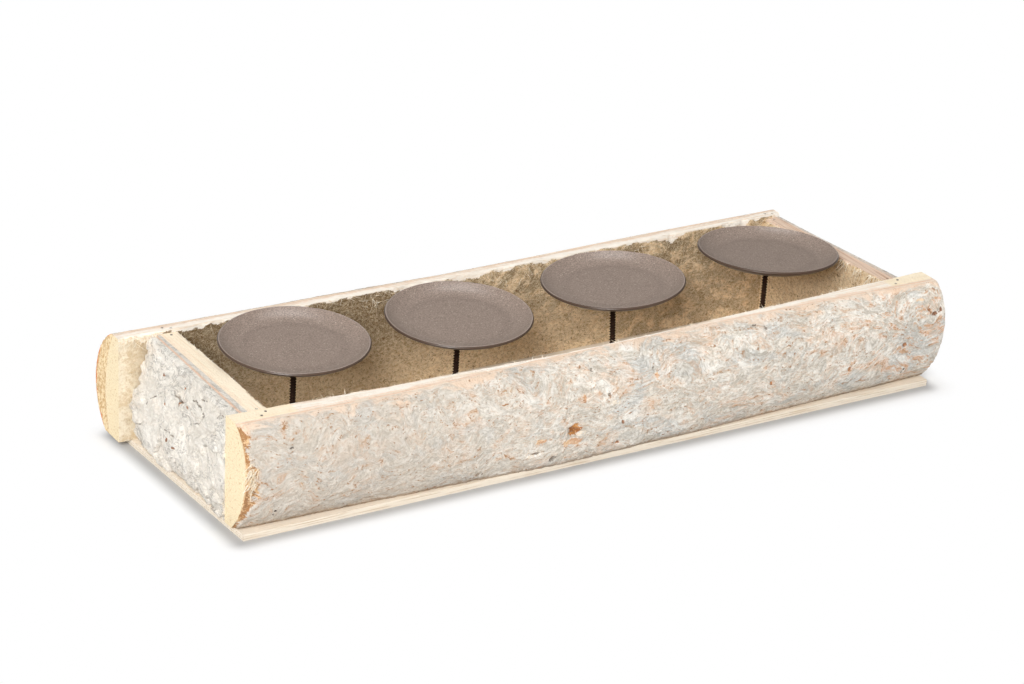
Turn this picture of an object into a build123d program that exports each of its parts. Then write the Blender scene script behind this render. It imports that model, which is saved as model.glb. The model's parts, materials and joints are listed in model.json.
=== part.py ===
"""A log-look candle tray: two split-log slabs and two end boards on a thin base, with a row of
candle dishes on wood screws that turn in a strip along the middle of the floor.

Millimetres. X runs along the tray, Y from the front slab to the back slab, Z up.
The origin is the middle of the underside.
"""
import os
from itertools import pairwise
from math import atan2, degrees, sqrt

from build123d import *

# Tray
slab_height = 74
slab_stagger = 12  # the back slab starts this far left of the front slab
tray_width = 131.5  # inside, from slab to slab
left_overhang = 30  # from the front slab's left end to the inside of the tray
front_right_overhang = 35.5  # from the inside of the tray to the front slab's right end
back_right_overhang = 8.5  # the same for the back slab

# Split-log sections at stations along each slab, measured outward from the flat sawn face:
# the wood, then the bark on it. Between the ends the logs sink below their full height.
slab_station_shares = (0, 0.24, 0.5, 0.77, 1)
front_bulge_height_shares = (0.62, 0.58, 0.54, 0.58, 0.62)
front_sinks = (0, 3.5, 5.5, 2.5, 0)
front_wood_feet = (9.5, 14.5, 18.5, 14, 9.5)
front_wood_bulges = (28, 27, 27.5, 27, 27.5)
front_wood_tops = (13, 8.5, 1.5, 6, 13)
front_bark_feet = (3, 3, 3.5, 3, 3)
front_bark_bulges = (4, 4, 4, 4, 4)
front_bark_tops = (5, 4.5, 1.5, 3.5, 5)
back_bulge_height_shares = (0.44, 0.46, 0.44, 0.42, 0.44)
back_sinks = (0, 0.6, 1, 0.6, 0)
back_wood_feet = (15, 14.8, 14.4, 14.7, 14.3)
back_wood_bulges = (20, 19.7, 19.2, 19.6, 19.1)
back_wood_tops = (8, 6.2, 5.4, 7.6, 7)
back_bark_feet = (6, 5.9, 5.8, 5.9, 5.7)
back_bark_bulges = (16, 15.8, 15.4, 15.7, 15.3)
back_bark_tops = (2.5, 2.3, 2.2, 2.4, 2)
cut_overrun = 10  # how far a cutting section stands out past what it cuts
cut_lift = 0.02  # how far its round outside reaches past the top of what it cuts

# End boards, and their bark at stations from the back slab to the front slab
left_board_thickness = 13
right_board_thickness = 9.5
end_board_drop = 2  # below the slabs' tops
left_end_skew = 1.2  # how much further out the front end stands than the back end
right_end_skew = 9
end_station_shares = (0, 0.33, 0.7, 1)
left_bulge_height_shares = (0.2, 0.22, 0.24, 0.26)
left_bark_feet = (18, 18.5, 15, 16)
left_bark_bulges = (22, 22.5, 19, 19.5)
left_bark_tops = (7.6, 9, 10.5, 12)
right_bulge_height_shares = (0.45, 0.45, 0.45, 0.45)
right_bark_feet = (3, 3.5, 3.5, 4)
right_bark_bulges = (4.5, 5, 5.5, 6)
right_bark_tops = (2.5, 2.5, 3.2, 3.8)

# Base board
base_thickness = 4.5
base_left_inset = 2.5  # from the front slab's left end
base_left_skew = 6  # how much further left the base's back corner lies than its front corner
base_right_inset = 2  # from the front slab's right end
base_front_lip = 8.5  # in front of the front slab's foot at its left end
base_back_inset = 1.25  # in front of the back slab's foot

# Strip that the screws bite into
strip_width = 30
strip_height = 20
strip_end_gap = 1.5

# Candle dishes and their screws
dish_diameter = 100
dish_gap = 23.5  # from one dish to the next
dish_end_gap = 2  # from the outer dishes to the end boards
dish_place_shares = (-1.51, -0.518, 0.502, 1.509)  # of the spacing, from the middle of the tray
dish_floor_diameter = 66
dish_rise = 6
dish_sheet = 2
dish_edge_round = 0.6
screw_diameter = 4.5
screw_length = 70
screw_head_diameter = 8.8
screw_head_height = 3.2
screw_point_length = 7
screw_tip_gap = 2.8  # from the base to the tip of a screw that is turned right in
screw_clearance = 0.05
dish_raises = (4.4, 0, 1.2, 0.3)  # how far each dish stands turned out
dish_side_tilts = (0.3, 0.4, 2.6, -2.9)  # degrees, right side up
dish_back_tilts = (2.3, 2.8, -0.9, -2.1)  # degrees, back side up

# Brads, pins and nails
pin_diameter = 1.6
pin_clearance = 0.05
pin_sink = 0.8
brad_grip = 16
brad_height = 10.5
brad_pitch = 3.6
skew_angle = 35  # degrees from upright
slab_pin_length = 34
slab_pin_shares = (0.36, 0.72)  # of the wood's width at the top
slab_pin_offset = 2.5  # to each side of the end board's middle
end_pin_length = 22
end_pin_depth = 4  # from the slab's sawn face
nail_diameter = 1.8
nail_head_diameter = 4
nail_head_height = 0.8
nail_length = 30
strip_nail_length = 18
slab_nail_depth = 5  # from the sawn face
slab_nail_shares = (-0.42, -0.14, 0.14, 0.42)  # of the tray's length
end_nail_shares = (-0.27, 0.27)  # of the tray's width

# Places that follow from the sizes: the dishes set the tray's length, and the tray the slabs'
dish_spacing = dish_diameter + dish_gap
tray_length = dish_diameter + (len(dish_raises) - 1) * dish_spacing + 2 * dish_end_gap
front_slab_length = left_overhang + tray_length + front_right_overhang
back_slab_length = slab_stagger + left_overhang + tray_length + back_right_overhang
front_bulge = front_wood_bulges[0] + front_bark_bulges[0]
back_bulge = back_wood_bulges[0] + back_bark_bulges[0]
front_face = front_bulge - (front_bulge + tray_width + back_bulge) / 2
back_face = front_face + tray_width
middle_y = (front_face + back_face) / 2
back_left = -max(slab_stagger + front_slab_length, back_slab_length) / 2
front_left = back_left + slab_stagger
tray_left = front_left + left_overhang
tray_right = tray_left + tray_length
middle_x = (tray_left + tray_right) / 2
floor = base_thickness
strip_top = floor + strip_height
slab_top = floor + slab_height
end_board_height = slab_height - end_board_drop
end_top = floor + end_board_height
pin_radius = pin_diameter / 2
pin_hole = pin_radius + pin_clearance
nail_radius = nail_diameter / 2
nail_hole = nail_radius + pin_clearance
nail_head_radius = nail_head_diameter / 2

# Each slab: its sawn face, the way its bark faces, and at its stations the height and the depths
# at foot, bulge and top, of the wood and of the wood with its bark
slab_faces = {"front": front_face, "back": back_face}
slab_ways = {"front": -1, "back": 1}
slab_starts = {"front": front_left, "back": back_left}
slab_lengths = {"front": front_slab_length, "back": back_slab_length}
slab_bulge_shares = {"front": front_bulge_height_shares, "back": back_bulge_height_shares}
slab_sinks = {"front": front_sinks, "back": back_sinks}
slab_woods = {
    "front": list(zip(front_wood_feet, front_wood_bulges, front_wood_tops)),
    "back": list(zip(back_wood_feet, back_wood_bulges, back_wood_tops)),
}
slab_barks = {
    "front": list(zip(front_bark_feet, front_bark_bulges, front_bark_tops)),
    "back": list(zip(back_bark_feet, back_bark_bulges, back_bark_tops)),
}

# Each end board: the inside of the tray there, the way its bark faces, its thickness and its bark
end_insides = {"left": tray_left, "right": tray_right}
end_ways = {"left": -1, "right": 1}
end_thicknesses = {"left": left_board_thickness, "right": right_board_thickness}
end_skews = {"left": left_end_skew, "right": right_end_skew}
end_bulge_shares = {"left": left_bulge_height_shares, "right": right_bulge_height_shares}
end_barks = {
    "left": list(zip(left_bark_feet, left_bark_bulges, left_bark_tops)),
    "right": list(zip(right_bark_feet, right_bark_bulges, right_bark_tops)),
}


def whole_sections(side):
    """Give a slab's depths with the bark on, station by station."""
    pairs = zip(slab_woods[side], slab_barks[side])
    return [[wood + bark for wood, bark in zip(*pair)] for pair in pairs]


def log_outline(face, way, height, section, bulge_share, overrun):
    """Draw a split log's section: a flat sawn face, and a round outside widest at the bulge.

    The straight sides stand out by the overrun, and without one their doubled corners are one.
    """
    foot, bulge, top = section
    widest = (face + way * bulge, floor + height * bulge_share)
    upper = (face + way * top, floor + height)
    lower = (face + way * foot, floor)
    inside = face - way * overrun
    corners = [
        upper,
        (face + way * top, floor + height + overrun),
        (inside, floor + height + overrun),
        (inside, floor - overrun),
        (face + way * foot, floor - overrun),
        lower,
    ]
    with BuildLine() as outline:
        TangentArc(widest, upper, tangent=(0, 1))
        TangentArc(widest, lower, tangent=(0, -1))
        Polyline(*dict.fromkeys(corners))
    make_face(outline.edges())


def end_inside(end, y):
    """Give the inner face of an end board at a place between the slabs."""
    return end_insides[end] + end_ways[end] * end_skews[end] * (middle_y - y) / tray_width


def end_middle(end, y):
    """Give the middle of an end board's thickness at a place between the slabs."""
    return end_inside(end, y) + end_ways[end] * end_thicknesses[end] / 2


def log_body(planes, faces, way, heights, sections, bulge_shares, overrun=0, mode=Mode.ADD):
    """Loft a log through its sections, one on each plane."""
    cuts = []
    for plane, face, height, section, share in zip(planes, faces, heights, sections, bulge_shares):
        with BuildSketch(plane) as cut:
            log_outline(face, way, height, section, share, overrun)
        cuts.append(cut.sketch.face())
    loft(cuts, mode=mode)


def slab_body(side, sections, lift=0, overrun=0, mode=Mode.ADD):
    """Loft one slab to the given depths, lifted past its top where it is to cut."""
    start = slab_starts[side]
    planes = [Plane.YZ.offset(start + share * slab_lengths[side]) for share in slab_station_shares]
    faces = [slab_faces[side]] * len(planes)
    heights = [slab_height - sink + lift for sink in slab_sinks[side]]
    bulge_shares = slab_bulge_shares[side]
    log_body(planes, faces, slab_ways[side], heights, sections, bulge_shares, overrun, mode)


def cut_wood(side, mode):
    """Keep or take away the wood of a whole slab."""
    slab_body(side, slab_woods[side], cut_lift, cut_overrun, mode)


def end_share(end, side):
    """Give where an end board meets a slab, as a share of the slab's length."""
    return (end_middle(end, slab_faces[side]) - slab_starts[side]) / slab_lengths[side]


def brad_depth(end, side):
    """Give how far a corner brad's head lies from the sawn face, just under the bark's surface."""
    outer, inner = (0, 1) if end == "left" else (-1, -2)
    run = slab_station_shares[inner] - slab_station_shares[outer]
    lean = (end_share(end, side) - slab_station_shares[outer]) / run
    sizes = [(foot, bulge, sink) for (foot, bulge, top), sink in zip(whole_sections(side), slab_sinks[side])]
    foot, bulge, sink = [a + lean * (b - a) for a, b in zip(sizes[outer], sizes[inner])]
    shares = slab_bulge_shares[side]
    drop = (slab_height - sink) * (shares[outer] + lean * (shares[inner] - shares[outer]))
    bend = ((bulge - foot) ** 2 + drop**2) / (2 * (bulge - foot))
    return bulge - bend + sqrt(bend**2 - (drop - brad_height) ** 2) - pin_sink


def brad_places(end, side):
    """Give one corner's brads. A place is a plane at the head that faces out of the wood."""
    way = slab_ways[side]
    head_x = end_middle(end, slab_faces[side])
    head_y = slab_faces[side] + way * brad_depth(end, side)
    heights = (floor + brad_height, floor + brad_height + brad_pitch)
    return [Plane(origin=(head_x, head_y, height), z_dir=(0, way, 0)) for height in heights]


def skew_place(x, y, z, way):
    """Give the place of a pin whose head leans towards the given way."""
    return Plane(origin=(x, y, z), z_dir=Vector(0, 0, 1).rotate(Axis.X, -way * skew_angle))


def slab_pin_places(end, side):
    """Give one corner's skew pins in the top of the slab."""
    way = slab_ways[side]
    face = slab_faces[side]
    outer_section = slab_woods[side][0 if end == "left" else -1]
    wood_top = outer_section[-1]
    return [
        skew_place(end_middle(end, face) + step, face + way * share * wood_top, slab_top, way)
        for step, share in zip((slab_pin_offset, -slab_pin_offset), slab_pin_shares)
    ]


def end_pin_places(end, side):
    """Give one corner's skew pin in the top of the end board."""
    way = slab_ways[side]
    head_y = slab_faces[side] - way * end_pin_depth
    return [skew_place(end_middle(end, head_y), head_y, end_top, -way)]


def nail_places(points):
    """Give places on the underside, facing down."""
    return [Plane(origin=(x, y, pin_sink), z_dir=(0, 0, -1)) for x, y in points]


def slab_nail_places(side):
    """Give the nails from below into one slab."""
    nail_y = slab_faces[side] + slab_ways[side] * slab_nail_depth
    return nail_places((middle_x + share * tray_length, nail_y) for share in slab_nail_shares)


def end_nail_places(end):
    """Give the nails from below into one end board."""
    rows = [middle_y + share * tray_width for share in end_nail_shares]
    return nail_places((end_middle(end, row), row) for row in rows)


def drill(places, radius, depth=None):
    """Drill a hole at each place, right through where no depth is given."""
    with Locations(*places):
        Hole(radius, depth)


def drive(places, radius, length):
    """Put a plain pin at each place, its end flush with the place."""
    with Locations(*places):
        Cylinder(radius, length, align=(Align.CENTER, Align.CENTER, Align.MAX))


def finish(builder, name):
    """Label a piece and write it."""
    builder.part.label = name
    export_step(builder.part, f"parts/{name}.step")


os.makedirs("parts", exist_ok=True)

# Slabs and their bark
for side in slab_faces:
    with BuildPart() as slab:
        slab_body(side, whole_sections(side))
        cut_wood(side, Mode.INTERSECT)
        for end in end_insides:
            drill(brad_places(end, side), pin_hole)
            drill(slab_pin_places(end, side), pin_hole)
            drill(end_pin_places(end, side), pin_hole, end_pin_length)
        drill(slab_nail_places(side), nail_hole, nail_length)
    finish(slab, f"{side}_slab")

    with BuildPart() as slab_bark:
        slab_body(side, whole_sections(side))
        cut_wood(side, Mode.SUBTRACT)
        for end in end_insides:
            drill(brad_places(end, side), pin_hole)
    finish(slab_bark, f"{side}_bark")

# End boards and their bark
end_rows = [back_face - share * tray_width for share in end_station_shares]
end_planes = [Plane.XZ.offset(-row) for row in end_rows]
for end in end_insides:
    way = end_ways[end]
    thickness = end_thicknesses[end]
    front_x = end_inside(end, front_face)
    back_x = end_inside(end, back_face)
    with BuildPart() as end_board:
        with BuildSketch(Plane.XY.offset(floor)):
            with BuildLine():
                Polyline(
                    (front_x, front_face),
                    (front_x + way * thickness, front_face),
                    (back_x + way * thickness, back_face),
                    (back_x, back_face),
                    close=True,
                )
            make_face()
        extrude(amount=end_board_height)
        for side in slab_faces:
            drill(brad_places(end, side), pin_hole, brad_depth(end, side) + brad_grip)
            drill(slab_pin_places(end, side), pin_hole, slab_pin_length)
            drill(end_pin_places(end, side), pin_hole)
        drill(end_nail_places(end), nail_hole, nail_length)
    finish(end_board, f"{end}_end_board")

    outer_faces = [end_inside(end, row) + way * thickness for row in end_rows]
    end_heights = [end_board_height] * len(end_rows)
    with BuildPart() as end_bark:
        log_body(end_planes, outer_faces, way, end_heights, end_barks[end], end_bulge_shares[end])
    finish(end_bark, f"{end}_end_bark")

# Candle stations: each screw leans a little, about the place where it enters the strip
station_planes = []
for share, side_tilt, back_tilt in zip(dish_place_shares, dish_side_tilts, dish_back_tilts):
    foot = (middle_x + share * dish_spacing, middle_y, strip_top)
    lean = Vector(0, 0, 1).rotate(Axis.X, back_tilt).rotate(Axis.Y, -side_tilt)
    station_planes.append(Plane(origin=foot, z_dir=lean))

# Base board, nailed from below
base_nail_places = [place for side in slab_faces for place in slab_nail_places(side)]
base_nail_places += [place for end in end_insides for place in end_nail_places(end)]
strip_nail_shares = [(first + second) / 2 for first, second in pairwise(dish_place_shares)]
strip_nail_places = nail_places((middle_x + share * dish_spacing, middle_y) for share in strip_nail_shares)
base_left = front_left + base_left_inset
base_right = front_left + front_slab_length - base_right_inset
base_front = front_face - front_wood_feet[0] - front_bark_feet[0] - base_front_lip
base_back = back_face + back_wood_feet[0] + back_bark_feet[0] - base_back_inset
with BuildPart() as base_board:
    with BuildSketch():
        with BuildLine():
            Polyline(
                (base_left, base_front),
                (base_right, base_front),
                (base_right, base_back),
                (base_left - base_left_skew, base_back),
                close=True,
            )
        make_face()
    extrude(amount=base_thickness)
    drill(base_nail_places + strip_nail_places, nail_hole)
    head_mouths = [place.offset(pin_sink) for place in base_nail_places + strip_nail_places]
    drill(head_mouths, nail_head_radius + pin_clearance, pin_sink + nail_head_height)
finish(base_board, "base_board")

# Strip
with BuildPart() as screw_strip:
    with BuildSketch(Plane.XY.offset(floor)):
        with Locations((middle_x, middle_y)):
            Rectangle(tray_length - 2 * strip_end_gap, strip_width)
    extrude(amount=strip_height)
    drill(station_planes, screw_diameter / 2 + screw_clearance)
    drill(strip_nail_places, nail_hole, strip_nail_length)
finish(screw_strip, "screw_strip")

# Dishes and the screws welded under them
dish_radius = dish_diameter / 2
dish_floor = dish_floor_diameter / 2
rim_run = dish_radius - dish_floor
rim_bend = (rim_run**2 + dish_rise**2) / (2 * dish_rise)
rim_sweep = degrees(atan2(rim_run, rim_bend - dish_rise))
screw_reach = screw_length + screw_tip_gap - strip_height  # above the strip
for number, (station, dish_raise) in enumerate(zip(station_planes, dish_raises), start=1):
    seat = station.offset(screw_reach + dish_raise)
    profile_plane = Plane(origin=seat.origin, x_dir=seat.x_dir, z_dir=-seat.y_dir)
    turn_axis = Axis(seat.origin, seat.z_dir)

    with BuildPart() as candle_dish:
        with BuildSketch(profile_plane) as dish_profile:
            with BuildLine():
                under = Line((0, 0), (dish_floor, 0))
                outside = CenterArc((dish_floor, rim_bend), rim_bend, -90, rim_sweep)
                inside = CenterArc((dish_floor, rim_bend), rim_bend - dish_sheet, -90, rim_sweep)
                Line(outside @ 1, inside @ 1)
                Polyline(inside @ 0, (0, dish_sheet), under @ 0)
            make_face()
            fillet(dish_profile.vertices().sort_by(Axis.X)[-2:], dish_edge_round)
        revolve(axis=turn_axis)
    finish(candle_dish, f"candle_dish_{number}")

    with BuildPart() as dish_screw:
        with BuildSketch(profile_plane):
            with BuildLine():
                Polyline(
                    (0, 0),
                    (screw_head_diameter / 2, 0),
                    (screw_diameter / 2, -screw_head_height),
                    (screw_diameter / 2, screw_point_length - screw_length),
                    (0, -screw_length),
                    close=True,
                )
            make_face()
        revolve(axis=turn_axis)
    finish(dish_screw, f"dish_screw_{number}")

# Brads, pins and nails
with BuildPart() as corner_brads:
    for side in slab_faces:
        for end in end_insides:
            drive(brad_places(end, side), pin_radius, brad_depth(end, side) + brad_grip)
finish(corner_brads, "corner_brads")

with BuildPart() as slab_top_pins:
    for side in slab_faces:
        for end in end_insides:
            sunk = [place.offset(-pin_sink) for place in slab_pin_places(end, side)]
            drive(sunk, pin_radius, slab_pin_length - pin_sink)
finish(slab_top_pins, "slab_top_pins")

with BuildPart() as end_top_pins:
    for side in slab_faces:
        for end in end_insides:
            sunk = [place.offset(-pin_sink) for place in end_pin_places(end, side)]
            drive(sunk, pin_radius, end_pin_length - pin_sink)
finish(end_top_pins, "end_top_pins")

with BuildPart() as base_nails:
    drive(base_nail_places, nail_radius, nail_length)
    drive(base_nail_places, nail_head_radius, nail_head_height)
finish(base_nails, "base_nails")

with BuildPart() as strip_nails:
    drive(strip_nail_places, nail_radius, strip_nail_length)
    drive(strip_nail_places, nail_head_radius, nail_head_height)
finish(strip_nails, "strip_nails")
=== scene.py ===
# %% [markdown]
# # A log-look advent candle holder
# The object is a long tray made of two split logs with the bark left on, two bark-faced end boards and a
# thin base. Four coated dishes stand in it on wood screws. Its construction comes ready from a packed
# model, in metres, with the origin in the middle of the underside, X along the tray, Y from the front slab
# to the back slab and Z up. Every piece below is made straight in that frame, so nothing has to be fitted
# afterwards.

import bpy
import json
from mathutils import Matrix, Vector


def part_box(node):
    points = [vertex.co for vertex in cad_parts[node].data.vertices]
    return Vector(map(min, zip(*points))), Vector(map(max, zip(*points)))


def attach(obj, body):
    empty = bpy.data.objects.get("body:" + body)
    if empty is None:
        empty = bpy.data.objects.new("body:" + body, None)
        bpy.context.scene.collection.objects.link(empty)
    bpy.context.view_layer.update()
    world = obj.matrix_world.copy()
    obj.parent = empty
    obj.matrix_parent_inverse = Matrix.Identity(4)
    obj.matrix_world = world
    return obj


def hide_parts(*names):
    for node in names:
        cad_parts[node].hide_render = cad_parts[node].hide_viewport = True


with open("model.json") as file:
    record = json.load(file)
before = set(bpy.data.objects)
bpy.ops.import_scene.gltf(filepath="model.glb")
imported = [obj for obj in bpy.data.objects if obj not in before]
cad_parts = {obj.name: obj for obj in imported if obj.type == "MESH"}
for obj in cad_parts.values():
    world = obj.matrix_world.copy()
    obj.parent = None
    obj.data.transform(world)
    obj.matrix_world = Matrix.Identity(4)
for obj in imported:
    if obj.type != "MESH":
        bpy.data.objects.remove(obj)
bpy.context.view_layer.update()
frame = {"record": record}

# %% [markdown]
# ## The camera
# The long lens and the slight roll are those of the picture that is matched. A camera can be aimed with a
# constraint, but three axes worked out from azimuth, elevation and roll say exactly where it looks.

# %% Place the camera
import math

import bpy
from mathutils import Matrix, Vector

mm = 0.001
image_width = 1024
focal_pixels = 3208.4
sensor_width = 36.0
camera_azimuth = math.radians(-32.172)
camera_elevation = math.radians(24.045)
camera_roll = math.radians(2.84)
camera_distance = 2175.2 * mm
camera_target = Vector((-9.392, 9.935, 47.64)) * mm

level = math.cos(camera_elevation)
aside, ahead = math.sin(camera_azimuth), math.cos(camera_azimuth)
away = Vector((aside * level, -ahead * level, math.sin(camera_elevation)))
right = Vector((ahead, aside, 0))
up = away.cross(right)
rolled_right = math.cos(camera_roll) * right + math.sin(camera_roll) * up
rolled_up = math.cos(camera_roll) * up - math.sin(camera_roll) * right

camera = bpy.data.objects.new("camera", bpy.data.cameras.new("camera"))
camera.data.sensor_width = sensor_width
camera.data.lens = focal_pixels / image_width * sensor_width
turn = Matrix((rolled_right, rolled_up, away)).transposed().to_4x4()
camera.matrix_world = Matrix.Translation(camera_target + camera_distance * away) @ turn
bpy.context.collection.objects.link(camera)
bpy.context.scene.camera = camera
print("lens", round(camera.data.lens, 1), "mm")

# %% [markdown]
# ## Shader maths in Python
# A finish is a tree of nodes. Clicking dozens of Math nodes together is slow to read, so a small class
# wraps a socket and turns +, - and * into Math nodes. Any other node comes from one method that takes its
# type, its settings and what its sockets get. Most of a finish is then layers of colour, each laid on
# through a mask.

# %% A socket with arithmetic
class Wire:
    """An output socket that adds Math nodes when it is calculated with."""

    def __init__(self, tree, socket):
        self.tree = tree
        self.socket = socket

    def math(self, operation, first, second=0):
        return self.tree.node("ShaderNodeMath", {"operation": operation}, {0: first, 1: second})

    def __add__(self, other):
        return self.math("ADD", self, other)

    def __sub__(self, other):
        return self.math("SUBTRACT", self, other)

    def __rsub__(self, other):
        return self.math("SUBTRACT", other, self)

    def __mul__(self, other):
        return self.math("MULTIPLY", self, other)

    def __abs__(self):
        return self.math("ABSOLUTE", self)

    def most(self, other):
        return self.math("MAXIMUM", self, other)

    def root(self):
        return self.math("SQRT", self)

    __radd__ = __add__
    __rmul__ = __mul__


# %% Colours
def colour(red, green, blue):
    """Turn a colour as a screen shows it, 0 to 255, into the linear values that a shader takes."""
    shares = [channel / 255 for channel in (red, green, blue)]
    return (*[s / 12.92 if s <= 0.04045 else ((s + 0.055) / 1.055) ** 2.4 for s in shares], 1)


print("middle grey is", round(colour(128, 128, 128)[0], 3))

# %% A tree that makes nodes
class Tree:
    """A node tree under construction."""

    def __init__(self, node_tree):
        self.node_tree = node_tree
        node_tree.nodes.clear()

    def node(self, kind, settings=None, sockets=None, output=0):
        made = self.node_tree.nodes.new(kind)
        for name, value in (settings or {}).items():
            setattr(made, name, value)
        for key, value in (sockets or {}).items():
            if isinstance(value, Wire):
                self.node_tree.links.new(value.socket, made.inputs[key])
            else:
                made.inputs[key].default_value = value
        return Wire(self, made.outputs[output]) if len(made.outputs) else made

    def paint(self, coat, *layers):
        """Lay colours over a coat, each as far as its mask says. Three numbers are a colour on a screen."""
        for shade, mask in layers:
            lower, upper = [colour(*c) if isinstance(c, tuple) and len(c) == 3 else c for c in (coat, shade)]
            sockets = {0: mask, 6: lower, 7: upper}
            coat = self.node("ShaderNodeMix", {"data_type": "RGBA"}, sockets, output=2)
        return coat

    def step(self, value, low, high):
        sockets = {"Value": value, "From Min": low, "From Max": high}
        return self.node("ShaderNodeMapRange", {"interpolation_type": "SMOOTHSTEP"}, sockets)

    def vector(self, operation, *values, output=0):
        return self.node("ShaderNodeVectorMath", {"operation": operation}, dict(enumerate(values)), output)

    def shrunk(self, place, size):
        """Divide places by a size, or by three sizes along X, Y and Z."""
        return self.vector("DIVIDE", place, size if isinstance(size, tuple) else (size, size, size))

    def specks(self, place, size, detail=3, roughness=0.55, twist=0):
        sockets = {"Vector": self.shrunk(place, size), "Scale": 1}
        sockets |= {"Detail": detail, "Roughness": roughness, "Distortion": twist}
        return self.node("ShaderNodeTexNoise", {}, sockets)

    def bend(self, place, size, reach):
        """Shift places by smooth noise, so that a pattern made from them flows and swirls."""
        sockets = {"Vector": self.shrunk(place, size), "Scale": 1, "Detail": 1}
        shift = self.node("ShaderNodeTexNoise", {}, sockets, output="Color")
        return self.vector("MULTIPLY_ADD", shift, (reach, reach, reach), place)

    def threads(self, value, middle, width):
        """Give thin winding lines, where a noise crosses a value."""
        return 1 - self.step(abs(value - middle), 0, width)

    def cells(self, place, size):
        return self.node("ShaderNodeTexVoronoi", {}, {"Vector": self.shrunk(place, size), "Scale": 1})

    def axis(self, vector, number):
        return self.node("ShaderNodeSeparateXYZ", {}, {0: vector}, output=number)

    def place(self):
        return self.node("ShaderNodeTexCoord", output="Object")

    def facing(self):
        return self.node("ShaderNodeTexCoord", output="Normal")

    def inherited(self, name):
        return self.node("ShaderNodeAttribute", {"attribute_name": name}, output="Fac")

    def relief(self, height, depth):
        return self.node("ShaderNodeBump", {}, {"Height": height, "Distance": depth, "Strength": 1})

    def surface(self, **sockets):
        """Make the tree's surface. A socket is written as base_color for Base Color."""
        inputs = {}
        for name, value in sockets.items():
            inputs[name.replace("_", " ").title().replace("Ior", "IOR")] = value
        shader = self.node("ShaderNodeBsdfPrincipled", {}, inputs)
        self.node("ShaderNodeOutputMaterial", {}, {0: shader})


def new_finish(name):
    material = bpy.data.materials.new(name)
    material.use_nodes = True
    return material, Tree(material.node_tree)


# %% [markdown]
# ## Light and floor
# The picture was lit by a soft light beside the camera: the far rims of the dishes are their brightest
# part, and the inside is lit even below the dishes. A lamp overhead and a pale sky fill the shadows. The
# floor shows its shadow close to the tray, darkened by a painted shadow in its own colour all round the
# base, widest at its left and front, and fades to plain white. Light Path tells the camera's rays from the
# others.

# %% Light the stage
zenith_strength = 0.5
horizon_strength = 0.2
lamps = {
    "key_lamp": {"place": Vector((-2.0, -1.95, 1.75)), "size": 1.2, "energy": 92},
    "overhead_lamp": {"place": Vector((0.1, 0.2, 2)), "size": 0.9, "energy": 10},
}

world = bpy.data.worlds.new("studio")
world.use_nodes = True
bpy.context.scene.world = world
sky = Tree(world.node_tree)


def seen_directly(tree):
    """Give 1 for rays from the camera or through glass, and 0 for rays that only light."""
    camera_ray = tree.node("ShaderNodeLightPath", output="Is Camera Ray")
    return camera_ray.most(tree.node("ShaderNodeLightPath", output="Is Transmission Ray"))


climb = sky.step(sky.axis(sky.node("ShaderNodeTexCoord", output="Generated"), 2), 0, 1)
strength = horizon_strength + climb * (zenith_strength - horizon_strength)
lighting = sky.node("ShaderNodeBackground", {}, {"Color": (1, 1, 1, 1), "Strength": strength})
white = sky.node("ShaderNodeBackground", {}, {"Color": (1, 1, 1, 1), "Strength": 1})
mixed_sky = sky.node("ShaderNodeMixShader", {}, {0: seen_directly(sky), 1: lighting, 2: white})
sky.node("ShaderNodeOutputWorld", {}, {0: mixed_sky})

for name, lamp in lamps.items():
    light = bpy.data.objects.new(name, bpy.data.lights.new(name, "AREA"))
    light.data.energy = lamp["energy"]
    light.data.size = lamp["size"]
    light.location = lamp["place"]
    light.rotation_euler = (-lamp["place"]).to_track_quat("-Z", "Y").to_euler()
    bpy.context.collection.objects.link(light)
bpy.context.scene.view_settings.view_transform = "Standard"
print("lamps", list(lamps))

# %% Lay the floor
floor_half = 3.0
floor_colour = (0.93, 0.93, 0.93, 1)
# The painted shadow's colour, fade and shift darken the floor's own colour next to the base
shadow_colour = (0.48, 0.48, 0.48, 1)
shadow_fade = 0.026
painted_shadow_fade = 0.014
painted_shadow_shift = (3.5 * mm, 1.5 * mm)
base_skew = 6 * mm

floor_mesh = bpy.data.meshes.new("floor")
floor_corners = [(x * floor_half, y * floor_half, 0) for x, y in ((-1, -1), (1, -1), (1, 1), (-1, 1))]
floor_mesh.from_pydata(floor_corners, [], [(0, 1, 2, 3)])
floor = bpy.data.objects.new("floor", floor_mesh)
bpy.context.collection.objects.link(floor)

floor_finish, paper = new_finish("white_floor")
base_low, base_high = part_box("base_board")


def base_distance(shift_x, shift_y):
    """Give the distance from the base board's outline, whose left edge is askew, at a shifted place."""
    x = paper.axis(paper.place(), 0) + shift_x
    y = paper.axis(paper.place(), 1) + shift_y
    straightened = x + (y - base_low.y) * (base_skew / (base_high.y - base_low.y))
    beside = (base_low.x + base_skew - straightened).most(x - base_high.x).most(0)
    before = (base_low.y - y).most(y - base_high.y).most(0)
    return (beside * beside + before * before).root()


plain = paper.step(base_distance(0, 0), 0, shadow_fade)
# Painted shadow: the floor's colour darkens near the base, shifted so it spreads most at the left and front
painted_contact_shadow = 1 - paper.step(base_distance(*painted_shadow_shift), 0, painted_shadow_fade)
shaded = paper.paint(floor_colour, (shadow_colour, painted_contact_shadow))
matt = paper.node("ShaderNodeBsdfDiffuse", {}, {"Color": shaded})
glow = paper.node("ShaderNodeEmission", {}, {"Color": (1, 1, 1, 1), "Strength": 1})
mixed = paper.node("ShaderNodeMixShader", {}, {0: plain * seen_directly(paper), 1: matt, 2: glow})
paper.node("ShaderNodeOutputMaterial", {}, {0: mixed})
floor_mesh.materials.append(floor_finish)
print("floor", 2 * floor_half, "m wide")

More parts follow.
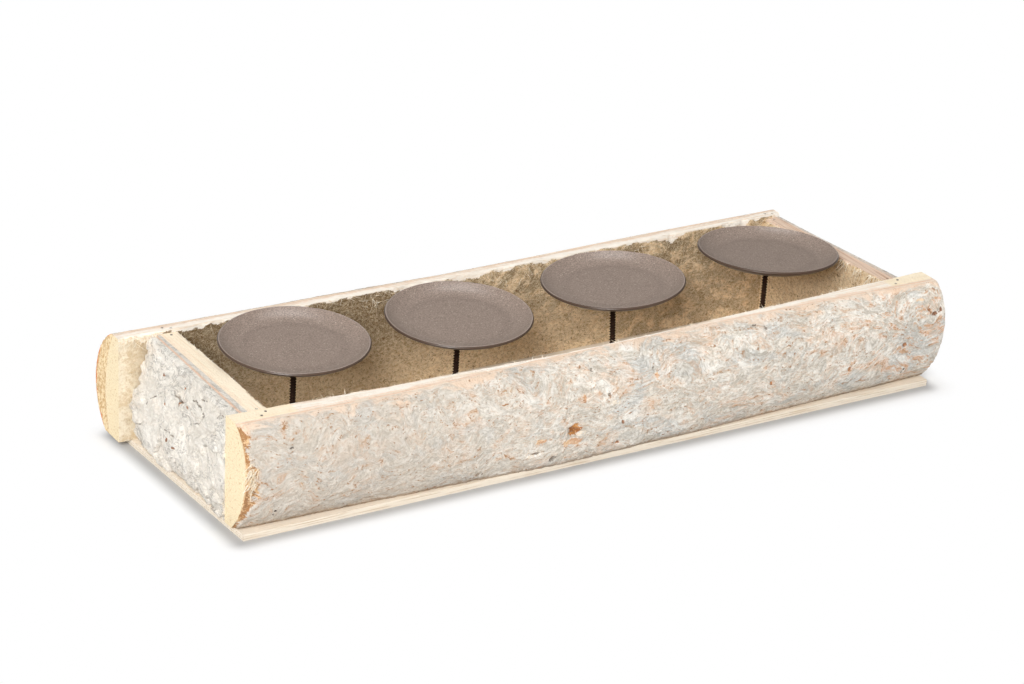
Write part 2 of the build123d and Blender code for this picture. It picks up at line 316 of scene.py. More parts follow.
# %% [markdown]
# ## A skin for every piece of wood
# A split log, its bark and an end board are all boxes that were bent: they have a length, a height and a
# depth. One function can skin such a box with a fine grid, if it is told where each share of length, height
# and depth lies. The grid is fine enough for rough sawing, chips and bark to be real shape instead of
# painted shade.

# %% Skin a bent box
import bmesh

sharp_angle = math.radians(65)


def add_piece(name, mesh):
    """Link a mesh as an object, with its faces turned outward and shaded smooth between sharp edges."""
    work = bmesh.new()
    work.from_mesh(mesh)
    bmesh.ops.recalc_face_normals(work, faces=work.faces)
    work.to_mesh(mesh)
    work.free()
    mesh.shade_smooth()
    mesh.set_sharp_from_angle(angle=sharp_angle)
    piece = bpy.data.objects.new(name, mesh)
    bpy.context.collection.objects.link(piece)
    return piece


def note(mesh, name, values):
    """Keep one number per point, for a finish to read."""
    mesh.attributes.new(name, "FLOAT", "POINT").data.foreach_set("value", values)


def skin(name, counts, place):
    """Make the closed skin of a bent box, where place(along, up, deep) gives a point for three shares."""
    numbers, points, heights, depths, faces = {}, [], [], [], []

    def number(*steps):
        if steps not in numbers:
            shares = [step / count for step, count in zip(steps, counts)]
            numbers[steps] = len(points)
            points.append(place(*shares))
            heights.append(shares[1])
            depths.append(shares[2])
        return numbers[steps]

    for fixed in range(3):
        first, second = [n for n in range(3) if n != fixed]
        for end in (0, counts[fixed]):
            for a in range(counts[first]):
                for b in range(counts[second]):
                    ring = []
                    for step_a, step_b in ((a, b), (a + 1, b), (a + 1, b + 1), (a, b + 1)):
                        steps = [end] * 3
                        steps[first] = step_a
                        steps[second] = step_b
                        ring.append(number(*steps))
                    faces.append(ring)
    mesh = bpy.data.meshes.new(name)
    mesh.from_pydata(points, [], faces)
    note(mesh, "height", heights)
    note(mesh, "depth", depths)
    return add_piece(name, mesh)


def dress(piece, body, slot, finish, *nodes):
    """Give a piece its body and its finish, and say which nodes it stands for. The slot is not used."""
    piece.data.materials.clear()
    piece.data.materials.append(finish)
    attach(piece, body)
    if nodes:
        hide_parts(*nodes)
    print(piece.name, "on", body)


# %% [markdown]
# ## Roughness as shape
# Wood and bark are rough at several sizes at once. Adding noise of a few sizes, each with its own height,
# gives waves, lumps and wrinkles. The sizes differ along the grain and across it.

# %% Noise helpers
from mathutils import noise


def waves(point, length, across, height):
    """Give smooth noise with features of the given size along X and across it."""
    return height * noise.noise(Vector((point.x / length, point.y / across, point.z / across)))


def smooth(value, low, high):
    """Rise from 0 to 1 between two values, like a shader's smooth step."""
    share = min(max((value - low) / (high - low), 0), 1)
    return share * share * (3 - 2 * share)


print("noise at a point", round(waves(Vector((0.1, 0.2, 0.3)), 0.02, 0.01, 1), 3))

# %% [markdown]
# ## The split logs
# Each slab is a log sawn down its length: a flat face inside, and a round outside whose section is two arcs
# that meet upright at the bulge. The section changes along the log, so its sizes are given at a few
# stations, in millimetres from the sawn face, and a smooth curve passes through them.

# %% Curves and arcs
def through(stations, values, share):
    """Follow a smooth curve that passes through the values at the stations."""
    last = len(stations) - 1
    number = sum(share > station for station in stations[1:-1])

    def slope(place):
        before, after = max(place - 1, 0), min(place + 1, last)
        return (values[after] - values[before]) / (stations[after] - stations[before])

    run = stations[number + 1] - stations[number]
    part = (share - stations[number]) / run
    rise = (values[number + 1] - values[number]) * part * part * (3 - 2 * part)
    lean = slope(number) * (1 - part) - slope(number + 1) * part
    return values[number] + rise + run * part * (1 - part) * lean


def arc_point(section, height, bulge_height, up):
    """Give depth, height and angle on two arcs that meet upright at the bulge, halfway up by share."""
    foot, bulge, top = section
    edge, rise = (top, height - bulge_height) if up > 0.5 else (foot, bulge_height)
    bend = ((bulge - edge) ** 2 + rise**2) / (2 * (bulge - edge))
    angle = (2 * up - 1) * math.atan2(rise, bend - bulge + edge)
    return bulge - bend + bend * math.cos(angle), bulge_height + bend * math.sin(angle), angle


print("halfway between", through((0, 0.5, 1), (1, 2, 1), 0.25))

# %% The logs
slab_stations = (0, 0.24, 0.5, 0.77, 1)
log_edge_depth = 0.3 * mm


class Log:
    """A split log along X: a flat sawn face, and round wood with bark on it."""

    def __init__(self, side, way, sinks, bulge_shares, wood, bark):
        self.low, self.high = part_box(f"{side}_slab")
        self.face = self.high.y if way < 0 else self.low.y
        self.way = way
        self.out = Vector((0, way, 0))
        self.sinks = sinks
        self.bulge_shares = bulge_shares
        self.wood = wood
        self.bark = bark
        self.known = {}

    def section(self, along):
        """Give the height, the bulge's height and the foot, bulge and top of the wood and of the bark."""
        if along not in self.known:
            here = [through(slab_stations, values, along) for values in (self.sinks, *self.wood, *self.bark)]
            sink, *depths = [size * mm for size in here]
            height = self.high.z - self.low.z - sink
            bulge_height = height * through(slab_stations, self.bulge_shares, along)
            bark = [wood + crust for wood, crust in zip(depths[:3], depths[3:])]
            self.known[along] = height, bulge_height, depths[:3], bark
        return self.known[along]

    def across(self, along, depth, height):
        x = self.low.x + along * (self.high.x - self.low.x)
        return Vector((x, self.face + self.way * depth, self.low.z + height))

    def outside(self, along, up, layer):
        """Give a point on the wood, layer 0, or on the bark, layer 1, and the way that its surface faces."""
        height, bulge_height, *layers = self.section(along)
        depth, climb, angle = arc_point(layers[layer], height, bulge_height, up)
        return self.across(along, depth, climb), Vector((0, self.way * math.cos(angle), math.sin(angle)))

    def wood_point(self, along, up, deep):
        """Give a point of the wood, from the sawn face to the bark, and how far its row is below the top."""
        height = self.section(along)[0]
        inner = self.across(along, 0, up * height)
        return inner.lerp(self.outside(along, up, 0)[0], deep), (1 - up) * height

    def upper_edge(self, along, drop):
        """Give a point on the inside, just below the upper edge."""
        return self.across(along, log_edge_depth, self.section(along)[0] - drop)

    def grain(self, point):
        """Turn a point so that its first part runs along the grain."""
        return point

    def share(self, x):
        return (x - self.low.x) / (self.high.x - self.low.x)

    def top(self, x):
        return self.low.z + self.section(self.share(x))[0]


front_log = Log(
    "front", -1,
    sinks=(0, 3.5, 5.5, 2.5, 0),
    bulge_shares=(0.62, 0.58, 0.54, 0.58, 0.62),
    wood=((9.5, 14.5, 18.5, 14, 9.5), (28, 27, 27.5, 27, 27.5), (13, 8.5, 1.5, 6, 13)),
    bark=((3, 3, 3.5, 3, 3), (4, 4, 4, 4, 4), (5, 4.5, 1.5, 3.5, 5)),
)
back_log = Log(
    "back", 1,
    sinks=(0, 0.6, 1, 0.6, 0),
    bulge_shares=(0.44, 0.46, 0.44, 0.42, 0.44),
    wood=((15, 14.8, 14.4, 14.7, 14.3), (20, 19.7, 19.2, 19.6, 19.1), (8, 6.2, 5.4, 7.6, 7)),
    bark=((6, 5.9, 5.8, 5.9, 5.7), (16, 15.8, 15.4, 15.7, 15.3), (2.5, 2.3, 2.2, 2.4, 2)),
)
print("front log's top in the middle", round(front_log.top(0) / mm, 1), "mm")

# %% [markdown]
# ## Bark on the logs
# The bark is thin, pale and finely wrinkled. The front one has a chipped hole where a branch was, a torn
# left edge and some small scars. A displacement texture could push it out, but working out each point in
# code lets the chips sit where they belong, and the shape is real from every side. What a point belongs to
# is noted on it as a number, so that the finish can colour the same chips.

# %% Scars of the front bark
torn_width = 10 * mm
torn_depth = 2.2 * mm
torn_middle = 40 * mm
torn_narrowing = (6 * mm, 22 * mm)
torn_edge_waves = (6 * mm, 6 * mm, 3.5 * mm)
torn_core_share = 0.35
torn_least_share = 0.45
knot_depth = 2.4 * mm
scar_depth = 0.9 * mm
scar_edge_waves = (3.2 * mm, 3.2 * mm, 0.4)
# Each scar's place along X and above the ground, and its half width and half height, in millimetres
front_scars = {
    "rust": (
        (263, 63.4, 1.6, 1.8), (267.9, 60, 3.2, 1.5), (272.5, 62, 1.3, 1.8), (242.9, 41, 1.7, 1.9),
        (11.1, 12.8, 2.2, 1.8), (198, 31, 1.8, 2.4), (131, 34, 1.4, 1.8), (12, 30, 1.2, 1.4),
    ),
    "orange": (
        (-26.5, 23, 8, 3.4), (-51, 28.5, 5, 3), (-18.7, 53, 1.4, 3), (38.7, 57, 2, 2.6), (258, 70, 5, 1),
    ),
    "white": (
        (-29, 36.2, 3.8, 2.2), (-19.4, 28.4, 4.4, 2.2), (-54.5, 18.4, 7.5, 2.4), (4, 46, 5, 1.8),
    ),
    "knot": ((-25, 32, 6, 5),),
    "dark": (
        (-38.5, 11, 3, 3), (-54, 19.6, 4.6, 0.9), (-8, 67, 1.1, 1.1), (124, 72, 2.4, 0.6),
        (131, 70, 0.9, 1.3), (37.5, 61.5, 1.4, 1), (-152, 52, 1, 1), (-233, 62, 2, 0.8),
        (-92, 10.5, 3, 0.7), (0, 52, 1.2, 1),
    ),
}


def within(point, scars):
    """Give 1 inside any of the scars, fading to 0 past their ragged edges."""
    nearest = min(
        math.hypot((point.x / mm - x) / half_width, (point.z / mm - z) / half_height)
        for x, z, half_width, half_height in scars
    )
    return 1 - smooth(nearest + waves(point, *scar_edge_waves), 0.4, 1.3)


def torn_end(point):
    """Give 1 where the front bark's left end is torn off, most of all halfway up."""
    narrowed = smooth(abs(point.z - torn_middle), *torn_narrowing)
    reach = torn_width * (1 - (1 - torn_least_share) * narrowed)
    from_end = point.x - front_log.low.x + waves(point, *torn_edge_waves)
    return 1 - smooth(from_end, torn_core_share * reach, reach)


def front_damage(point):
    """Give how deep the front bark is chipped away."""
    small_scars = max(within(point, front_scars["rust"]), within(point, front_scars["dark"]))
    chips = knot_depth * within(point, front_scars["knot"]) + scar_depth * small_scars
    return chips + torn_depth * torn_end(point)


print("damage at the knot", round(front_damage(Vector((-0.0244, 0, 0.033))) / mm, 2), "mm")

# %% Shape the logs' bark
least_crust = 0.3 * mm
most_rough = 1.2 * mm
calm_share = 0.92
# Sizes of noise along X and across it, and its height
swirl_waves = (12 * mm, 12 * mm, 4 * mm)
lump_waves = ((75 * mm, 45 * mm, 0.8 * mm), (18 * mm, 11 * mm, 0.4 * mm))
wrinkle_waves = ((6.8 * mm, 3.6 * mm, 0.8 * mm), (3 * mm, 1.9 * mm, 0.45 * mm))
wrinkle_lift = 0.3 * mm


def log_relief(point):
    """Give how far the bark stands out at a point of the log, in waves, lumps and winding wrinkles."""
    bent = point + Vector((waves(point, *swirl_waves), 0, waves(point.zxy, *swirl_waves)))
    lumps = sum(waves(point, *sizes) for sizes in lump_waves)
    return lumps - sum(abs(waves(bent, *sizes)) for sizes in wrinkle_waves) + wrinkle_lift


def log_bark(log, name, counts, damage):
    """Skin the bark of a log, calm along its upper edge and chipped as far as the damage says."""
    def place(along, up, deep):
        inner, lean = log.outside(along, up, 0)
        outer, lean = log.outside(along, up, 1)
        rough = min(log_relief(outer), most_rough) * (1 - smooth(up, calm_share, 1)) - damage(outer)
        rough = max(rough, least_crust - (outer - inner).length)
        return inner.lerp(outer + rough * lean, deep)

    return skin(name, counts, place)


front_bark = log_bark(front_log, "front_bark_crust", (680, 116, 4), front_damage)
back_bark = log_bark(back_log, "back_bark_crust", (480, 80, 8), lambda point: 0)
for mark, scars in front_scars.items():
    note(front_bark.data, mark, [within(vert.co, scars) for vert in front_bark.data.vertices])
note(front_bark.data, "torn", [torn_end(vert.co) for vert in front_bark.data.vertices])
print("bark faces", len(front_bark.data.polygons), len(back_bark.data.polygons))

# %% [markdown]
# ## Sawn wood of the logs
# The saw left the inside faces rough and the upper inside edges splintered. A bevel of changing width does
# for the splintered edge: where it is wide, the pale broken wood shows below the top. The end boards were
# sawn the same way, so the function takes either.

# %% Shape the logs' wood
long_chip_size = 34 * mm
short_chip_size = 6 * mm
least_chip = 0.4 * mm
chip_fade = 0.5 * mm


def chipping(point, below, widest):
    """Give how far the edge is splintered off at a point that lies below the top."""
    long_chip = noise.noise(Vector((point.x, point.y, 0)) / long_chip_size) + 0.35
    short_chip = noise.noise(Vector((point.x, point.y, 1)) / short_chip_size)
    return max(max(widest * (long_chip + 0.5 * short_chip), least_chip) - below, 0)


def sawn_piece(name, body, widest, counts, bevel, fuzz_waves, top_waves):
    """Skin sawn wood that is rough inside and on top, and note where its edge is splintered."""
    chips = []

    def place(along, up, deep):
        point, below = body.wood_point(along, up, deep)
        chip = chipping(body.grain(point), below, widest) * (1 - smooth(deep, 0, 0.5))
        fuzz = sum(waves(point, *sizes) for sizes in fuzz_waves)
        point += body.out * (bevel * chip + fuzz * (1 - deep))
        if up == 1:
            point.z += sum(waves(point, *sizes) for sizes in top_waves) * (1 - deep)
        chips.append(smooth(chip, 0, chip_fade))
        return point

    piece = skin(name, counts, place)
    note(piece.data, "chip", chips)
    return piece


log_sawing = {
    "counts": (420, 60, 8),
    "bevel": 0.45,
    "fuzz_waves": ((3 * mm, 2.5 * mm, 0.28 * mm), (20 * mm, 12 * mm, 0.3 * mm)),
    "top_waves": ((20 * mm, 10 * mm, 0.25 * mm), (4 * mm, 3 * mm, 0.12 * mm)),
}
front_wood = sawn_piece("front_slab_wood", front_log, 1.6 * mm, **log_sawing)
back_wood = sawn_piece("back_slab_wood", back_log, 7 * mm, **log_sawing)
print("wood faces", len(front_wood.data.polygons), len(back_wood.data.polygons))

# %% [markdown]
# ## End boards
# Two boards close the tray. They are straight wood inside with bark outside, and the left one shows thick
# flaky plates with dark cracks. Plates are what a Voronoi pattern gives: each point belongs to its nearest
# seed, so each plate gets its own height, and the edges between plates become cracks.

# %% The boards
end_stations = (0, 0.33, 0.7, 1)
board_edge_depth = 0.4 * mm


class Board:
    """An end board along Y, from the back slab to the front one, a little askew, with its bark outside."""

    def __init__(self, end, way, thickness, skew, bulge_shares, bark):
        self.low, self.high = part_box(f"{end}_end_board")
        self.start = self.high.x if way < 0 else self.low.x
        self.way = way
        self.out = Vector((way, 0, 0))
        self.thickness = thickness * mm
        self.skew = skew * mm
        self.bulge_shares = bulge_shares
        self.bark = bark
        self.height = self.high.z - self.low.z

    def point(self, along, height, out):
        """Give a point at a share of the length, a height and a distance from the inside."""
        x = self.start + self.way * (self.skew * along + out)
        return Vector((x, self.high.y + along * (self.low.y - self.high.y), self.low.z + height))

    def outside(self, along, up):
        """Give a point on the bark and the way that its surface faces."""
        section = [through(end_stations, sizes, along) * mm for sizes in self.bark]
        bulge_height = self.height * through(end_stations, self.bulge_shares, along)
        depth, climb, angle = arc_point(section, self.height, bulge_height, up)
        lean = Vector((self.way * math.cos(angle), 0, math.sin(angle)))
        return self.point(along, climb, self.thickness + depth), lean

    def wood_point(self, along, up, deep):
        """Give a point of the wood, from the inside to the bark, and how far its row is below the top."""
        return self.point(along, up * self.height, deep * self.thickness), (1 - up) * self.height

    def upper_edge(self, along, drop):
        """Give a point on the inside, just below the upper edge."""
        return self.point(along, self.height - drop, board_edge_depth)

    def grain(self, point):
        """Turn a point so that its first part runs along the grain."""
        return point.yxz


left_board = Board(
    "left", -1, thickness=13, skew=1.2, bulge_shares=(0.2, 0.22, 0.24, 0.26),
    bark=((18, 18.5, 15, 16), (22, 22.5, 19, 19.5), (7.6, 9, 10.5, 12)),
)
right_board = Board(
    "right", 1, thickness=9.5, skew=9, bulge_shares=(0.45, 0.45, 0.45, 0.45),
    bark=((3, 3.5, 3.5, 4), (4.5, 5, 5.5, 6), (2.5, 2.5, 3.2, 3.8)),
)
print("left board", [round(size / mm, 1) for size in left_board.low])

# %% Cracks and plates of the end bark
plate_size = 15 * mm
plate_squash = 0.75
plate_waves = (10 * mm, 10 * mm, 4 * mm)
plate_gap_size = 14 * mm
plate_shuffle = 7.3
crack_waves = (4 * mm, 4 * mm, 1.3)
crack_width_waves = (7 * mm, 7 * mm, 0.7)
# Cracks of the left end as lines of points, along Y and above the ground, in millimetres
left_cracks = (
    ((-14, 66), (-21, 65.5), (-27.5, 64), (-30, 61), (-26, 55.5), (-21.5, 52)),
    ((39, 42), (36, 45.5), (30.5, 49.5)), ((-46, 67), (-52, 71), (-60, 71.5), (-66, 72)),
    ((19.5, 33.5), (4.5, 36), (-1, 35)), ((62, 18), (48, 23.5), (41, 27)), ((-24, 70), (-34, 71)),
    ((8, 62), (2, 58), (-3, 60)), ((-40, 40), (-44, 34), (-42, 29)), ((14, 20), (8, 23), (3, 22)),
)
# Rusty spots of the left end: place along Y and above the ground, half width and half height, in millimetres
left_rust = (
    (0.5, 56.5, 2, 1.6), (-11, 59, 2.6, 1.3), (-17, 57, 1.3, 2), (30.5, 64, 1.2, 1.4), (6.5, 30, 1.2, 2),
    (-1.5, 27.5, 2, 1.3), (16.5, 50.5, 1.8, 1.1), (2, 66, 1, 1),
)


def plates(point):
    """Give a height for each flaky plate, and 1 in the cracks round the plates."""
    bent = point + Vector((0, waves(point, *plate_waves), waves(point.zxy, *plate_waves)))
    distances, seeds = noise.voronoi(Vector((bent.y, bent.z / plate_squash, bent.x)) / plate_size)
    gate = smooth(noise.noise(point / plate_gap_size), 0, 0.35)
    crack = (1 - smooth(distances[1] - distances[0], 0, 0.08)) * gate
    return noise.cell(seeds[0] * plate_shuffle), crack


def line_distance(side, climb, line):
    """Give the distance of a place from a line of points."""
    nearest = math.inf
    for (y1, z1), (y2, z2) in zip(line, line[1:]):
        run, rise = y2 - y1, z2 - z1
        part = ((side - y1) * run + (climb - z1) * rise) / (run * run + rise * rise)
        part = min(max(part, 0), 1)
        nearest = min(nearest, math.hypot(side - y1 - part * run, climb - z1 - part * rise))
    return nearest


def long_crack(point):
    """Give 1 in the long cracks of the left end, which wander and open and close."""
    side = point.y / mm + waves(point, *crack_waves)
    climb = point.z / mm + waves(point.zxy, *crack_waves)
    width = max(0.5 + waves(point, *crack_width_waves), 0.3) + 0.2
    return 1 - smooth(min(line_distance(side, climb, line) for line in left_cracks), 0.1, width)


print("crack lines", len(left_cracks))

# %% Shape the end boards' bark
plate_height = 1.8 * mm
crack_depth = 0.9 * mm
most_flaky = 1.6 * mm
relief_share = 0.9
board_calm_share = 0.95
ragged_depth = 8 * mm
long_bite_size = 7 * mm
short_bite_size = 3 * mm


def board_bark(board, name, counts, flaky):
    """Skin the bark of an end board. Where flaky is 1, it has plates, cracks and a ragged back edge."""
    cracks = []

    def place(along, up, deep):
        outer, lean = board.outside(along, up)
        inner = board.point(along, outer.z - board.low.z, board.thickness)
        step, crack = plates(outer)
        crack = max(0.5 * crack, long_crack(outer)) if flaky else 0
        rough = flaky * (step - 0.5) * plate_height - crack_depth * crack
        rough += relief_share * log_relief(outer.yxz)
        rough = max(min(rough, most_flaky), least_crust - (outer - inner).length)
        rough *= 1 - smooth(up, board_calm_share, 1)
        point = inner.lerp(outer + rough * lean, deep)
        long_bite = noise.noise(Vector((0, 3, point.z / long_bite_size)))
        short_bite = noise.noise(Vector((0, 5, point.z / short_bite_size)))
        ragged = max(long_bite + 0.5 * short_bite + 0.2, 0) * ragged_depth * flaky
        point.y -= ragged * deep * (1 - smooth(along, 0, 0.1)) * smooth(up, 0, 0.05)
        cracks.append(crack * deep)
        return point

    piece = skin(name, counts, place)
    note(piece.data, "dark", cracks)
    return piece


left_bark = board_bark(left_board, "left_end_crust", (190, 112, 10), 1)
right_bark = board_bark(right_board, "right_end_crust", (150, 84, 4), 0)
side_view = [Vector((vert.co.y, 0, vert.co.z)) for vert in left_bark.data.vertices]
note(left_bark.data, "rust", [within(point, left_rust) for point in side_view])
print("end bark faces", len(left_bark.data.polygons), len(right_bark.data.polygons))

# %% Shape the end boards' wood
board_sawing = {
    "counts": (130, 56, 8),
    "bevel": 0.5,
    "fuzz_waves": ((2.5 * mm, 3 * mm, 0.28 * mm), (12 * mm, 18 * mm, 0.3 * mm)),
    "top_waves": ((10 * mm, 20 * mm, 0.25 * mm), (3 * mm, 4 * mm, 0.12 * mm)),
}
left_wood = sawn_piece("left_end_wood", left_board, 2 * mm, **board_sawing)
right_wood = sawn_piece("right_end_wood", right_board, 4 * mm, **board_sawing)
print("end wood faces", len(left_wood.data.polygons))

# %% [markdown]
# ## Bark finish
# Limed bark is pale cream with grey, peach and orange coming through, in winding threads. Thin lines where
# a noise crosses one value look like such threads, and they swirl once a smoother noise has shifted the
# places that the noise is taken at. The cut edges show tan inner bark with an orange rim: the depth that
# the skin carries tells the crust from the cut edges.

# %% Patterns in the bark
class BarkPatterns:
    """The noises that a bark is mixed from, where grain has a streak's shares along X, Y and Z."""

    def __init__(self, bark, grain):
        self.place = bark.place()
        flow = bark.bend(bark.bend(self.place, 0.04, 0.045), 0.01, 0.009)

        def pattern(size, detail, roughness, twist):
            return bark.specks(self.place, (size, size, 0.75 * size), detail, roughness, twist)

        def lines(size, detail=3, roughness=0.6):
            return bark.specks(flow, tuple(size * share for share in grain), detail, roughness)

        self.grit = pattern(0.0018, 2, 0.6, 0.6)
        self.peel = pattern(0.0095, 4, 0.6, 1.6)
        self.hair = pattern(0.017, 6, 0.7, 1.2)
        self.patch = pattern(0.024, 5, 0.62, 1)
        self.cloud = pattern(0.04, 4, 0.6, 0.8)
        self.thread = lines(0.011)
        self.worm = lines(0.024)
        self.streak = lines(0.04, 4, 0.65)


# %% The limed coat
def limed_coat(bark, noises, pale, warm):
    """Mix the outside of a bark. Pale says how white it is, and warm is 1 on a log and 0 on an end board."""
    grit, thread, worm, patch, cloud = noises.grit, noises.thread, noises.worm, noises.patch, noises.cloud
    x = bark.axis(noises.place, 0)
    height = bark.inherited("height")
    near_end = bark.step(abs(x), 0.16, 0.27) * warm
    leftward = bark.step(x, 0.02, -0.2) * warm
    rusty = 0.25 + 0.75 * warm
    fleck = bark.step(thread + 0.8 * patch + 0.1 * near_end, 1.02, 1.12)
    hairline = bark.threads(noises.hair, 0.5, 0.03) * bark.step(cloud, 0.42, 0.54) * (1 - warm)
    rim = bark.step(height + (worm - 0.5) * 0.4 + (patch - 0.5) * 0.3, 0.92, 1.03) * warm
    # Painted shade along the bark's lowest edge, where it stands on the base
    foot = 1 - bark.step(height + (thread - 0.5) * 0.08, 0.005, 0.05)
    return bark.paint(
        (221, 213, 200),
        ((199, 191, 178), bark.step(noises.peel, 0.45, 0.55)),
        ((184, 186, 183), bark.step(cloud, 0.48, 0.62) * (0.35 + 0.35 * warm)),
        ((226, 198, 172), bark.step(patch, 0.48, 0.64) * (0.1 + 0.42 * warm)),
        ((176, 166, 150), bark.step(noises.streak, 0.53, 0.63) * 0.5),
        ((250, 245, 236), bark.step(noises.streak, 0.45, 0.37) * 0.5),
        ((204, 150, 104), fleck * (0.1 + 0.3 * warm + 0.25 * near_end)),
        ((196, 148, 108), bark.threads(worm, 0.42, 0.03) * (0.36 * rusty)),
        ((146, 140, 132), bark.threads(worm, 0.58, 0.03) * 0.26),
        ((206, 160, 120), bark.threads(thread, 0.6, 0.04) * (0.26 * rusty)),
        ((150, 134, 118), bark.threads(thread, 0.39, 0.04) * 0.32),
        ((251, 248, 243), bark.threads(worm, 0.5, 0.04) * 0.32),
        ((249, 245, 239), bark.threads(thread, 0.5, 0.05) * 0.22),
        ((158, 144, 130), bark.step(grit, 0.57, 0.69) * 0.3),
        ((252, 249, 243), bark.step(grit, 0.43, 0.33) * 0.33),
        ((188, 176, 162), leftward * 0.5),
        ((245, 240, 231), pale),
        ((108, 102, 96), hairline * 0.6),
        ((236, 208, 182), rim * 0.7),
        ((150, 122, 92), foot * (0.3 + 0.4 * warm)),
    )


# %% Scars on the coat
# A light shade, a dark shade and how strongly they cover the coat
scar_shades = {
    "orange": ((232, 192, 142), (208, 142, 84), 0.65),
    "rust": ((182, 122, 70), (124, 76, 42), 0.9),
    "knot": ((204, 146, 84), (146, 92, 46), 1),
    "white": ((254, 251, 246), (232, 218, 198), 0.8),
    "dark": ((140, 128, 112), (84, 75, 66), 0.75),
    "torn": ((224, 188, 144), (164, 120, 78), 1),
}


def scarred(bark, noises, coat, warm):
    """Colour the scars that the skin carries."""
    ragged = (noises.thread - 0.5) * (0.5 + 1.5 * warm) + (noises.grit - 0.5) * 1.8 * warm
    for mark, (light, dark, strength) in scar_shades.items():
        shade = bark.paint(light, (dark, bark.step(noises.grit + noises.worm, 0.85, 1.1)))
        coat = bark.paint(coat, (shade, bark.step(bark.inherited(mark) + ragged, 0.32, 0.72) * strength))
    return coat


# %% Cut edges of the bark
def cut_edges(bark, noises, coat, warm):
    """Colour the ledge along the top and, on a log, the tan bark that its sawn ends show."""
    deep = bark.inherited("depth")
    facing = bark.facing()
    wander = noises.worm - 0.5
    pores = bark.step(bark.specks(noises.place, (0.0016, 0.0016, 0.0022), 3, 0.75), 0.42, 0.58)
    orange = bark.step(deep + wander, 0.84, 0.98)
    cut = bark.paint((206, 168, 118), ((246, 224, 182), pores), ((222, 140, 84), orange))
    gate = bark.step(noises.patch, 0.36, 0.56) if warm else 1
    seam = bark.threads(deep + wander * (0.12 + 0.38 * warm), 0.4, 0.16 + 0.12 * warm) * gate
    ledge = bark.paint((206, 198, 188), ((240, 222, 202), warm))
    endward = bark.step(abs(bark.axis(facing, 0)), 0.75, 0.9) * (1 - bark.step(deep, 0.97, 1)) * warm
    upward = bark.step(bark.axis(facing, 2), 0.75, 0.9)
    inner = 1 - bark.step(deep, 0.35 + 0.25 * warm, 0.6 + 0.4 * warm)
    return bark.paint(
        coat,
        (ledge, upward * inner * (0.45 + 0.3 * warm)),
        ((232, 190, 158), upward * seam * 0.8),
        (cut, endward),
    )


# %% Mix the barks
def bark_finish(name, grain, pale, warm):
    finish, bark = new_finish(name)
    noises = BarkPatterns(bark, grain)
    coat = limed_coat(bark, noises, pale, warm)
    coat = cut_edges(bark, noises, scarred(bark, noises, coat, warm), warm)
    relief = bark.relief(noises.grit * 0.7 + noises.thread + noises.worm, (1.4 - 0.5 * warm) * mm)
    bark.surface(base_color=coat, roughness=0.9, normal=relief)
    return finish


log_crust = bark_finish("limed_log_bark", (1, 0.3, 0.3), 0, 1)
left_crust = bark_finish("limed_left_bark", (0.4, 1, 0.4), 0.4, 0)
right_crust = bark_finish("limed_right_bark", (0.3, 1, 0.3), 0.15, 0)
dress(front_bark, "tray", "bark", log_crust, "front_bark")
dress(back_bark, "tray", "bark", log_crust, "back_bark")
dress(left_bark, "tray", "bark", left_crust, "left_end_bark")
dress(right_bark, "tray", "bark", right_crust, "right_end_bark")

# %% [markdown]
# ## Sawn wood finish
# The tops are pale and almost white, the ends yellow, and the inside faces brown with fine fuzz, darker
# near the top, where painted shade lies. Which way a face looks tells which of these it is, and what lies
# outside the end boards stayed clean.

# %% Patterns in the sawn wood
inside_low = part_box("left_end_board")[0].x
inside_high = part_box("right_end_board")[1].x
inside_middle = (inside_low + inside_high) / 2
inside_reach = (inside_high - inside_low) / 2
clean_fade = 2 * mm
yellow_middle = 11.5 * mm
# Where a look starts and where it is full: along X, but for the front along Y and the upper part along Z
yellow_span = (229 * mm, 233 * mm)
left_span = (-15 * mm, -80 * mm)
right_span = (20 * mm, 160 * mm)
shade_span = (-274 * mm, -250 * mm)
stain_span = (-259 * mm, -249 * mm)
front_span = (10 * mm, 0)
high_span = (18 * mm, 60 * mm)


class SawnPatterns:
    """The noises and places that sawn wood is mixed from, where grain has the sizes of a line of grain."""

    def __init__(self, wood, grain):
        place = wood.place()
        self.x = wood.axis(place, 0)
        self.front = wood.step(wood.axis(place, 1), *front_span)
        self.high_up = wood.step(wood.axis(place, 2), *high_span)
        self.lines = wood.specks(place, grain, 4, 0.6)
        self.blots = wood.specks(place, 0.012, 4, 0.65)
        self.dust = wood.specks(place, 0.0012, 4, 0.75)
        self.grains = wood.specks(place, (0.0024, 0.0024, 0.0018), 4, 0.7)
        self.strand = wood.specks(place, (0.0046, 0.0046, 0.0034), 3, 0.6, 2.6)
        self.cloud = wood.specks(place, (0.016, 0.016, 0.011), 4, 0.62, 0.5)
        self.dots = wood.specks(place, 0.004)


print("the tray is", round(2 * inside_reach / mm, 1), "mm long with its end boards")


# %% Tops and ends of the wood
def sawn_top(wood, noises, ends, light, dark):
    """Mix the top: pale lines of grain, peach toward the bark, and yellow at the front log's corners."""
    seam = wood.step(wood.inherited("depth") + (noises.blots - 0.5) * 1.4, 0.62, 1.1)
    yellow = wood.step(abs(noises.x - yellow_middle), *yellow_span) * noises.front * ends
    return wood.paint(
        light,
        (dark, wood.step(noises.lines, 0.46, 0.7)),
        ((238, 204, 176), seam * (0.35 + 0.35 * ends)),
        ((251, 233, 198), yellow * 0.7),
    )


def sawn_end(wood, noises):
    """Mix the end grain, with dust of the saw and darker grains."""
    return wood.paint(
        (246, 229, 194),
        ((230, 201, 151), wood.step(noises.dust, 0.48, 0.68)),
        ((206, 164, 106), wood.step(noises.grains, 0.56, 0.68) * 0.85),
    )


